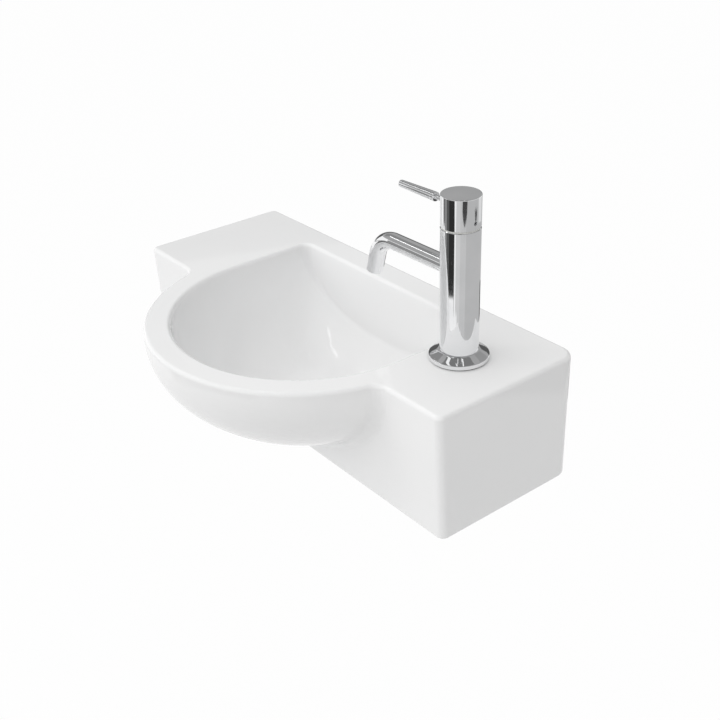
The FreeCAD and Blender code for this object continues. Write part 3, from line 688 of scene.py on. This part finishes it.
    def chamfered(self, piece: bpy.types.Object, axis: Vector, flat: float, corner: float,
                  low: float, high: float, degrees: float = 30.0,
                  margin: float = 0.5 * MM) -> None:
        """Turns the corners off both ends of a nut.

        Args:
            piece: The nut.
            axis: A point on the upright axis.
            flat: Radius of the chamfer's end circle in metres.
            corner: Radius across the nut's corners in metres.
            low: Height of the nut's lower face in metres.
            high: Height of the nut's upper face in metres.
            degrees: Slope of the chamfer.
            margin: How far the cutter stands clear of the nut's ends, in metres.
        """
        slope = math.tan(math.radians(degrees))
        fall = (corner - flat) * slope + margin
        spread = margin / slope
        barrel = self.turned("barrel", [
            (flat - spread, low - margin), (corner + spread, low + fall),
            (corner + spread, high - fall), (flat - spread, high + margin)])
        # Turned by half a facet, because an edge of the barrel that meets a corner of the nut
        # leaves slivers.
        self.placed(barrel, Vector((axis.x, axis.y, 0.0)), turn=math.pi / RING_POINTS)
        cut = piece.modifiers.new("chamfer", "BOOLEAN")
        cut.operation = "INTERSECT"
        cut.solver = "EXACT"
        cut.object = barrel
        self.applied(piece, cut)
        self.alone(barrel)
        bpy.ops.object.delete()
        self.shaded(piece)

    def dressed(self, piece: bpy.types.Object, slot: Slot, body: Body, *nodes: str) -> None:
        """Gives a piece its finish and its body, and lets it stand for CAD nodes.

        Args:
            piece: The piece.
            slot: Its finish.
            body: What it rides on.
            nodes: The CAD nodes that it replaces.
        """
        piece.data.materials.clear()
        piece.data.materials.append(self.looks[slot])
        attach(piece, body.value)
        if nodes:
            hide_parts(*nodes)
        LOG.info("%s: %d faces, %s, rides on %s", piece.name, len(piece.data.polygons),
                 slot.value, body.value)

    def skinned(self, node: str, slot: Slot, body: Body) -> None:
        """Replaces a CAD node by its smooth copy and dresses it."""
        self.dressed(self.merged(node), slot, body, node)

    def painted(self, node: str, slot: Slot) -> None:
        """Gives a CAD node its finish and leaves its shape.

        Args:
            node: The CAD node's name.
            slot: Its finish.
        """
        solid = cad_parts[node]
        solid.data.materials.clear()
        solid.data.materials.append(self.looks[slot])
        LOG.info("%s: CAD node, %s", node, slot.value)


@dataclass
class Basin:
    """The ceramic casting."""

    bench: Bench

    def build(self) -> None:
        """Dresses the casting."""
        self.bench.skinned("basin_body", Slot.GLAZE, Body.BASIN)


@dataclass
class Waste:
    """The grid waste in the bowl's floor, with its threaded outlet below."""

    bench: Bench
    outlet_radius: float = 20.955 * MM
    outlet_length: float = 20.0 * MM
    thread_pitch: float = 2.309 * MM
    thread_depth: float = 1.4 * MM

    def build(self) -> None:
        """Builds and dresses every piece of the waste."""
        self.bench.skinned("waste_grid", Slot.CHROME, Body.BASIN)
        self.bench.dressed(self.tail(), Slot.CHROME, Body.BASIN, "waste_tail")
        self.bench.skinned("waste_screw", Slot.STEEL, Body.BASIN)
        for node in ("waste_top_seal", "waste_bottom_seal"):
            self.bench.skinned(node, Slot.RUBBER, Body.BASIN)

    def tail(self) -> bpy.types.Object:
        """The lower half of the waste, with the thread cut on its outlet.

        Returns:
            The new piece.
        """
        low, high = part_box("waste_tail")
        piece = self.bench.merged("waste_tail")
        thread = Thread(self.outlet_radius, self.thread_depth, self.thread_pitch,
                        low.z, low.z + self.outlet_length)
        self.bench.threaded(piece, (low + high) / 2, thread)
        return piece


@dataclass
class Tap:
    """The fixed part of the tap: column, flange, spout, inlet and clamping."""

    bench: Bench
    axis: Vector = field(default_factory=tap_axis)
    spout_radius: float = 7.5 * MM
    spout_wall: float = 1.0 * MM
    spout_run: float = 81.0 * MM
    spout_end: float = 18.0 * MM
    bend_radius: float = 25.0 * MM
    bend_degrees: float = 74.0
    bend_steps: int = 28
    mouth_round: float = 0.35 * MM
    inlet_radius: float = 10.4775 * MM
    inlet_length: float = 18.0 * MM
    thread_pitch: float = 1.814 * MM
    thread_depth: float = 1.1 * MM
    nut_flats: float = 30.0 * MM
    nut_chamfer: float = 0.3 * MM

    def build(self) -> None:
        """Builds and dresses every piece of the fixed part."""
        for node in ("tap_column", "tap_base_flange", "aerator_ring"):
            self.bench.skinned(node, Slot.CHROME, Body.BASIN)
        self.bench.dressed(self.spout(), Slot.CHROME, Body.BASIN, "spout_tube")
        self.bench.dressed(self.inlet(), Slot.BRASS, Body.BASIN, "tap_shank")
        self.bench.dressed(self.lock_nut(), Slot.BRASS, Body.BASIN, "tap_lock_nut")
        self.bench.skinned("tap_steel_washer", Slot.STEEL, Body.BASIN)
        for node in ("tap_base_seal", "tap_rubber_washer"):
            self.bench.skinned(node, Slot.RUBBER, Body.BASIN)
        for node in ("aerator_insert", "slip_ring"):
            self.bench.skinned(node, Slot.NYLON, Body.BASIN)
        self.bench.painted("spout_o_ring", Slot.RUBBER)

    def inlet(self) -> bpy.types.Object:
        """The shank under the deck, with the thread cut on its free end.

        Returns:
            The new piece.
        """
        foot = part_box("tap_shank")[0].z
        piece = self.bench.merged("tap_shank")
        thread = Thread(self.inlet_radius, self.thread_depth, self.thread_pitch,
                        foot, foot + self.inlet_length)
        self.bench.threaded(piece, self.axis, thread)
        return piece

    def lock_nut(self) -> bpy.types.Object:
        """The nut under the deck, with its corners turned off.

        Returns:
            The new piece.
        """
        low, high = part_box("tap_lock_nut")
        piece = self.bench.merged("tap_lock_nut")
        self.bench.chamfered(piece, self.axis, self.nut_flats / 2 - self.nut_chamfer,
                             self.nut_flats / math.sqrt(3), low.z, high.z)
        return piece

    def spout(self) -> bpy.types.Object:
        """The bent tube: a circle drawn out of the column, spun round the bend and given a wall.

        Returns:
            The new piece.
        """
        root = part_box("spout_tube")[1]
        height = root.z - self.spout_radius
        bend_x = self.axis.x - self.spout_run
        bend = math.radians(self.bend_degrees)
        heading = Vector((-math.cos(bend), 0.0, -math.sin(bend)))
        bpy.ops.object.select_all(action="DESELECT")
        bpy.ops.mesh.primitive_circle_add(vertices=RING_POINTS // 2, radius=self.spout_radius,
                                          location=(root.x, self.axis.y, height),
                                          rotation=(0.0, -math.pi / 2, 0.0))
        tube = bpy.context.object
        tube.name = "spout_skin"
        bpy.ops.object.transform_apply(location=True, rotation=True)
        bpy.ops.object.mode_set(mode="EDIT")
        bpy.ops.mesh.select_all(action="SELECT")
        bpy.ops.mesh.extrude_region_move(
            TRANSFORM_OT_translate={"value": (bend_x - root.x, 0.0, 0.0)})
        bpy.ops.mesh.spin(steps=self.bend_steps, angle=bend, axis=(0.0, 1.0, 0.0),
                          center=(bend_x, self.axis.y, height - self.bend_radius))
        bpy.ops.mesh.extrude_region_move(
            TRANSFORM_OT_translate={"value": heading * self.spout_end})
        bpy.ops.mesh.select_all(action="SELECT")
        bpy.ops.mesh.remove_doubles(threshold=WELD)
        bpy.ops.mesh.normals_make_consistent(inside=False)
        bpy.ops.object.mode_set(mode="OBJECT")
        wall = tube.modifiers.new("wall", "SOLIDIFY")
        wall.thickness = self.spout_wall
        wall.offset = -1.0
        self.bench.applied(tube, wall)
        self.bench.softened(tube, self.mouth_round)
        self.bench.shaded(tube)
        return tube


@dataclass
class Cartridge:
    """The ceramic-disc valve inside the column."""

    bench: Bench

    def build(self) -> None:
        """Dresses the valve's nodes."""
        for node in ("cartridge_body", "spindle"):
            self.bench.painted(node, Slot.BRASS)
        for node in ("fixed_disc", "moving_disc"):
            self.bench.painted(node, Slot.ALUMINA)
        for node in ("cartridge_seat_seal", "spindle_o_rings"):
            self.bench.painted(node, Slot.RUBBER)
        self.bench.painted("spindle_circlip", Slot.STEEL)


@dataclass
class Handle:
    """The cap with its lever, which turn together."""

    bench: Bench
    root_radius: float = 3.95 * MM
    tip_radius: float = 3.1 * MM
    tip_round: float = 1.0 * MM
    collar: float = 3.6 * MM
    groove: float = 0.2 * MM
    edge: float = 0.25 * MM
    bore_radius: float = 2.1 * MM
    bore_depth: float = 15.0 * MM
    round_steps: int = 5

    def build(self) -> None:
        """Builds and dresses the handle's pieces."""
        for node in ("handle_cap", "lever_stud"):
            self.bench.skinned(node, Slot.CHROME, Body.HANDLE)
        self.bench.dressed(self.lever(), Slot.CHROME, Body.HANDLE, "lever_sleeve")
        self.bench.skinned("grub_screw", Slot.STEEL, Body.HANDLE)

    def lever(self) -> bpy.types.Object:
        """The lever's sleeve: a collar and a groove at its root, a taper and a rounded tip.

        Returns:
            The new piece.
        """
        low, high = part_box("lever_sleeve")
        length = high.x - low.x
        groove_radius = self.root_radius - self.groove
        rings = [(self.bore_radius, self.bore_depth), (self.bore_radius, 0.0),
                 (self.root_radius - self.edge, 0.0), (self.root_radius, self.edge),
                 (self.root_radius, self.collar), (groove_radius, self.collar + self.groove),
                 (groove_radius, self.collar + 2 * self.groove),
                 (self.root_radius, self.collar + 3 * self.groove)]
        for step in range(self.round_steps + 1):
            turn = math.pi / 2 * step / self.round_steps
            rings.append((self.tip_radius - self.tip_round * (1.0 - math.cos(turn)),
                          length - self.tip_round * (1.0 - math.sin(turn))))
        piece = self.bench.turned("lever_skin", rings)
        root = Vector((high.x, (low.y + high.y) / 2, (low.z + high.z) / 2))
        self.bench.placed(piece, root, tilt=-math.pi / 2)
        self.bench.shaded(piece)
        return piece


@dataclass(frozen=True)
class Card:
    """A card that stands in an arc round the tap and only shows in gloss and metal.

    Azimuths are in degrees from the front, growing to the right. Heights, the distance from the
    tap and the tip are in metres. A card with a tip ends in a point that far below.
    """

    name: str
    first: float
    last: float
    low: float
    high: float
    grey: float
    distance: float = 1.2
    tip: float = 0.0


@dataclass
class Studio:
    """Floor, surrounding white, cards, lamps and the camera."""

    tap: Vector = field(default_factory=tap_axis)
    aim: Vector = at(0.0, -0.12, 0.03)
    floor_drop: float = 0.80
    floor_size: float = 60.0
    floor_white: float = 0.90
    floor_grey: float = 0.76
    ambient: float = 0.78
    ambient_lean: Vector = at(-0.39, -0.37, 0.13)
    key_power: float = 2.3
    key_size: float = 0.5
    key_place: Vector = at(-0.95, -1.42, 1.52)
    fill_power: float = 3.1
    fill_size: float = 1.0
    fill_place: Vector = at(0.95, -0.35, 1.66)
    strip_grey: float = 3.0
    strip_size: tuple[float, float] = (1.2, 0.07)
    strip_place: Vector = at(-1.14, -0.92, 1.565)
    strip_roll: float = 10.4
    streak_places: tuple[tuple[float, float], ...] = ((-0.52, 0.15), (-0.10, 0.05), (0.22, 0.06))
    streak_length: float = 1.0
    streak_shift: float = 0.25
    streak_grey: float = 0.95
    ring_points: int = 64
    ring_radius: float = 1.5
    ring_top: float = 0.05
    ring_grey: float = 0.5
    ceiling_height: float = 1.7
    ceiling_size: float = 10.0
    ceiling_grey: float = 0.38
    hatch_size: float = 1.4
    hatch_grey: float = 0.2
    card_gap: float = 0.02
    card_seed: float = 0.01
    card_steps: int = 24
    upright_cards: tuple[Card, ...] = (
        Card("dark_middle", -20.0, 12.0, -0.455, 0.32, 0.03),
        Card("dark_flank", -36.0, -20.0, -0.445, 0.32, 0.10),
        Card("grey_flank", -50.0, -36.0, -0.42, 0.32, 0.28),
        Card("cap_flank", -63.0, -50.0, -0.305, 0.0, 0.16),
        Card("white_line", 14.0, 21.0, -0.78, 0.0, 0.95),
        Card("pale_side", 21.0, 44.0, -0.78, 0.0, 0.64),
        Card("grey_side", 44.0, 76.0, -0.78, 0.0, 0.57),
        Card("pale_left", -122.0, -50.0, -0.78, 0.0, 1.0, 1.25),
        Card("white_low_1", -24.0, 11.0, -0.49, -0.455, 0.95, 1.19),
        Card("white_low_2", -36.0, 30.0, -0.53, -0.49, 0.95, 1.19),
        Card("white_low_3", -55.0, 56.0, -0.57, -0.53, 0.95, 1.19),
        Card("white_low_4", -70.0, 88.0, -0.78, -0.57, 0.95, 1.19),
        Card("cap_wedge_1", 54.0, 80.0, -0.27, 0.0, 0.06, 1.19, 0.026),
        Card("cap_wedge_2", 126.0, 145.0, -0.27, -0.266, 0.05, 1.19, 0.026),
        Card("cap_light", 157.0, 192.0, -0.30, 0.0, 0.75),
        Card("dark_edge", 192.0, 222.0, -0.68, -0.43, 0.12),
        Card("bend_shade", -175.0, -85.0, 0.05, 0.46, 0.10),
        Card("flange_left", -106.0, -76.0, 0.62, 1.5, 0.26),
        Card("flange_right", 164.0, 196.0, 0.70, 1.5, 0.31),
    )
    azimuth: float = 52.53
    elevation: float = 29.32
    roll: float = -2.14
    camera_place: Vector = at(0.7371, -0.6243, 0.5026)
    lens: float = 53.73
    sensor: float = 36.0

    def build(self) -> None:
        """Sets up the whole studio."""
        bpy.context.scene.view_settings.view_transform = "Standard"
        self.floor()
        self.surround()
        self.cards()
        self.streaks()
        self.lamps()
        self.camera()

    def square(self, size: float, x: float, y: float, z: float) -> bpy.types.Object:
        """Lays a level square sheet.

        Args:
            size: Its side in metres.
            x: Place of its middle along X.
            y: Place of its middle along Y.
            z: Height of its middle.

        Returns:
            The sheet.
        """
        bpy.ops.object.select_all(action="DESELECT")
        bpy.ops.mesh.primitive_plane_add(size=size, location=(x, y, z))
        return bpy.context.object

    def strip(self, size: tuple[float, float], shift: tuple[float, float]) -> bpy.types.Object:
        """Lays a level strip at the origin, or beside it.

        Args:
            size: Its sides along X and Y in metres.
            shift: How far its middle lies from the origin along X and Y.

        Returns:
            The strip.
        """
        piece = self.square(1.0, 0.0, 0.0, 0.0)
        bpy.ops.object.mode_set(mode="EDIT")
        bpy.ops.mesh.select_all(action="SELECT")
        bpy.ops.transform.resize(value=(*size, 1.0), center_override=(0.0, 0.0, 0.0))
        bpy.ops.transform.translate(value=(*shift, 0.0))
        bpy.ops.object.mode_set(mode="OBJECT")
        return piece

    def blank(self, name: str) -> bpy.types.Material:
        """A material with nothing on its output yet.

        Args:
            name: The material's name.

        Returns:
            The material.
        """
        material = bpy.data.materials.new(name)
        material.use_nodes = True
        material.node_tree.nodes.remove(material.node_tree.nodes["Principled BSDF"])
        return material

    def seen(self, tree: bpy.types.NodeTree) -> bpy.types.NodeSocket:
        """A mask of 1 for rays that look: from the camera, by reflection or through glass.

        Args:
            tree: The node tree to add to.

        Returns:
            The value socket.
        """
        path = tree.nodes.new("ShaderNodeLightPath")
        mask = path.outputs["Is Camera Ray"]
        for other in ("Is Glossy Ray", "Is Transmission Ray"):
            either = tree.nodes.new("ShaderNodeMath")
            either.operation = "MAXIMUM"
            tree.links.new(mask, either.inputs[0])
            tree.links.new(path.outputs[other], either.inputs[1])
            mask = either.outputs["Value"]
        return mask

    def floor(self) -> None:
        """A pale floor that looks white, takes a shadow and lights nothing by itself."""
        plane = self.square(self.floor_size, 0.0, 0.0, -self.floor_drop)
        plane.name = "floor"
        material = self.blank("floor")
        tree = material.node_tree
        matt = tree.nodes.new("ShaderNodeBsdfDiffuse")
        matt.inputs["Color"].default_value = opaque_grey(self.floor_grey)
        shadow = tree.nodes.new("ShaderNodeBsdfDiffuse")
        shadow.inputs["Color"].default_value = opaque_grey(1.0 - self.floor_white)
        glow = tree.nodes.new("ShaderNodeEmission")
        glow.inputs["Strength"].default_value = self.floor_white
        white = tree.nodes.new("ShaderNodeAddShader")
        tree.links.new(glow.outputs[0], white.inputs[0])
        tree.links.new(shadow.outputs[0], white.inputs[1])
        mix = tree.nodes.new("ShaderNodeMixShader")
        tree.links.new(self.seen(tree), mix.inputs[0])
        tree.links.new(matt.outputs[0], mix.inputs[1])
        tree.links.new(white.outputs[0], mix.inputs[2])
        tree.links.new(mix.outputs[0], tree.nodes["Material Output"].inputs["Surface"])
        plane.data.materials.append(material)

    def surround(self) -> None:
        """White all round for what looks, and a leaning ambient level for the light itself."""
        world = bpy.data.worlds.new("studio")
        bpy.context.scene.world = world
        world.use_nodes = True
        tree = world.node_tree
        light = tree.nodes["Background"]
        light.inputs["Color"].default_value = opaque_grey(1.0)
        tree.links.new(self.leaning(tree), light.inputs["Strength"])
        white = tree.nodes.new("ShaderNodeBackground")
        white.inputs["Color"].default_value = opaque_grey(1.0)
        mix = tree.nodes.new("ShaderNodeMixShader")
        tree.links.new(self.seen(tree), mix.inputs[0])
        tree.links.new(light.outputs[0], mix.inputs[1])
        tree.links.new(white.outputs[0], mix.inputs[2])
        tree.links.new(mix.outputs[0], tree.nodes["World Output"].inputs["Surface"])

    def leaning(self, tree: bpy.types.NodeTree) -> bpy.types.NodeSocket:
        """The ambient level, which grows towards the front left and a little upwards.

        Args:
            tree: The world's node tree.

        Returns:
            The value socket.
        """
        lean = tree.nodes.new("ShaderNodeVectorMath")
        lean.operation = "DOT_PRODUCT"
        lean.inputs[1].default_value = self.ambient_lean
        place = tree.nodes.new("ShaderNodeTexCoord")
        tree.links.new(place.outputs["Generated"], lean.inputs[0])
        level = tree.nodes.new("ShaderNodeMath")
        level.operation = "ADD"
        level.inputs[1].default_value = self.ambient
        tree.links.new(lean.outputs["Value"], level.inputs[0])
        return level.outputs["Value"]

    def card(self, piece: bpy.types.Object, name: str, grey: float) -> None:
        """Makes a mesh a card that only shows in gloss and metal.

        Args:
            piece: The mesh.
            name: The card's name.
            grey: Its brightness.
        """
        piece.name = name
        material = self.blank(name)
        tree = material.node_tree
        glow = tree.nodes.new("ShaderNodeEmission")
        glow.inputs["Strength"].default_value = grey
        tree.links.new(glow.outputs[0], tree.nodes["Material Output"].inputs["Surface"])
        piece.data.materials.append(material)
        piece.visible_camera = False
        piece.visible_diffuse = False
        piece.visible_shadow = False

    def cards(self) -> None:
        """A grey ring, a grey ceiling with a dark hatch, and the cards round the tap."""
        low = self.card_gap - self.floor_drop
        bpy.ops.object.select_all(action="DESELECT")
        bpy.ops.mesh.primitive_circle_add(vertices=self.ring_points, radius=self.ring_radius,
                                          location=(0.0, 0.0, low))
        bpy.ops.object.mode_set(mode="EDIT")
        bpy.ops.mesh.select_all(action="SELECT")
        bpy.ops.mesh.extrude_region_move(
            TRANSFORM_OT_translate={"value": (0.0, 0.0, self.ring_top - low)})
        bpy.ops.object.mode_set(mode="OBJECT")
        self.card(bpy.context.object, "grey_ring", self.ring_grey)
        ceiling = self.square(self.ceiling_size, 0.0, 0.0, self.ceiling_height)
        self.card(ceiling, "grey_ceiling", self.ceiling_grey)
        hatch = self.square(self.hatch_size, 0.0, 0.0, self.ceiling_height - self.card_gap)
        self.card(hatch, "dark_hatch", self.hatch_grey)
        for upright in self.upright_cards:
            self.standing_card(upright)

    def standing_card(self, upright: Card) -> None:
        """Stands a card round the tap: a point is drawn up to a line and spun to an arc.

        Args:
            upright: The card's size, place and brightness.
        """
        start = math.radians(upright.first - 90.0)
        sheet = self.square(self.card_seed, self.tap.x + upright.distance * math.cos(start),
                            self.tap.y + upright.distance * math.sin(start), upright.low)
        bpy.ops.object.transform_apply(location=True)
        bpy.ops.object.mode_set(mode="EDIT")
        bpy.ops.mesh.select_all(action="SELECT")
        bpy.ops.mesh.merge(type="CENTER")
        rise = upright.high - upright.low
        bpy.ops.mesh.extrude_region_move(TRANSFORM_OT_translate={"value": (0.0, 0.0, rise)})
        bpy.ops.mesh.select_all(action="SELECT")
        bpy.ops.mesh.spin(steps=self.card_steps, axis=(0.0, 0.0, 1.0),
                          angle=math.radians(upright.first - upright.last),
                          center=(self.tap.x, self.tap.y, 0.0))
        bpy.ops.mesh.select_all(action="DESELECT")
        bpy.ops.object.mode_set(mode="OBJECT")
        if upright.tip:
            for corner in sheet.data.vertices:
                corner.select = corner.co.z < upright.low + rise / 2
            bpy.ops.object.mode_set(mode="EDIT")
            bpy.ops.mesh.select_mode(type="VERT")
            bpy.ops.mesh.extrude_region_move(
                TRANSFORM_OT_translate={"value": (0.0, 0.0, -upright.tip)})
            bpy.ops.mesh.merge(type="CENTER")
            bpy.ops.object.mode_set(mode="OBJECT")
        self.card(sheet, upright.name, upright.grey)

    def streaks(self) -> None:
        """White strips under the dark hatch, over the tap, that streak the front of its flange."""
        height = self.ceiling_height - 2 * self.card_gap
        for number, (offset, width) in enumerate(self.streak_places, start=1):
            strip = self.strip((width, self.streak_length), (offset, self.streak_shift))
            strip.location = (self.tap.x, self.tap.y, height)
            strip.rotation_euler = (0.0, 0.0, math.radians(self.azimuth))
            self.card(strip, f"white_streak_{number}", self.streak_grey)

    def facing(self, place: Vector) -> Quaternion:
        """The turn that points something at a place towards the object."""
        return (self.aim - place).to_track_quat("-Z", "Y")

    def lamp(self, name: str, size: float, power: float, place: Vector) -> None:
        """Hangs a soft box that lights the object but doesn't show in its gloss.

        Args:
            name: The lamp's name.
            size: Side of the soft box in metres.
            power: In watts.
            place: Where it hangs.
        """
        light = bpy.data.lights.new(name, "AREA")
        light.shape = "SQUARE"
        light.size = size
        light.energy = power
        holder = bpy.data.objects.new(name, light)
        holder.location = place
        holder.rotation_euler = self.facing(place).to_euler()
        holder.visible_glossy = False
        bpy.context.scene.collection.objects.link(holder)

    def lamps(self) -> None:
        """A weak key at the front left, a weak fill at the right, and a strip for the gloss."""
        self.lamp("key", self.key_size, self.key_power, self.key_place)
        self.lamp("fill", self.fill_size, self.fill_power, self.fill_place)
        strip = self.strip(self.strip_size, (0.0, 0.0))
        strip.location = self.strip_place
        roll = Matrix.Rotation(math.radians(self.strip_roll), 3, "Z")
        strip.rotation_euler = (self.facing(self.strip_place).to_matrix() @ roll).to_euler()
        self.card(strip, "bright_strip", self.strip_grey)

    def camera(self) -> None:
        """The camera at the photograph's angle."""
        data = bpy.data.cameras.new("camera")
        data.lens = self.lens
        data.sensor_width = self.sensor
        holder = bpy.data.objects.new("camera", data)
        holder.matrix_world = (Matrix.Translation(self.camera_place)
                               @ Matrix.Rotation(math.radians(self.azimuth), 4, "Z")
                               @ Matrix.Rotation(math.radians(90.0 - self.elevation), 4, "X")
                               @ Matrix.Rotation(math.radians(self.roll), 4, "Z"))
        bpy.context.scene.collection.objects.link(holder)
        bpy.context.scene.camera = holder


def main() -> None:
    """Builds the washbasin, then the studio round it."""
    logging.basicConfig(level=logging.INFO, format="%(name)s %(message)s")
    bench = Bench()
    for part in (Basin(bench), Waste(bench), Tap(bench), Cartridge(bench), Handle(bench)):
        LOG.info("building %s", type(part).__name__)
        part.build()
    Studio().build()


if __name__ == "__main__":
    main()
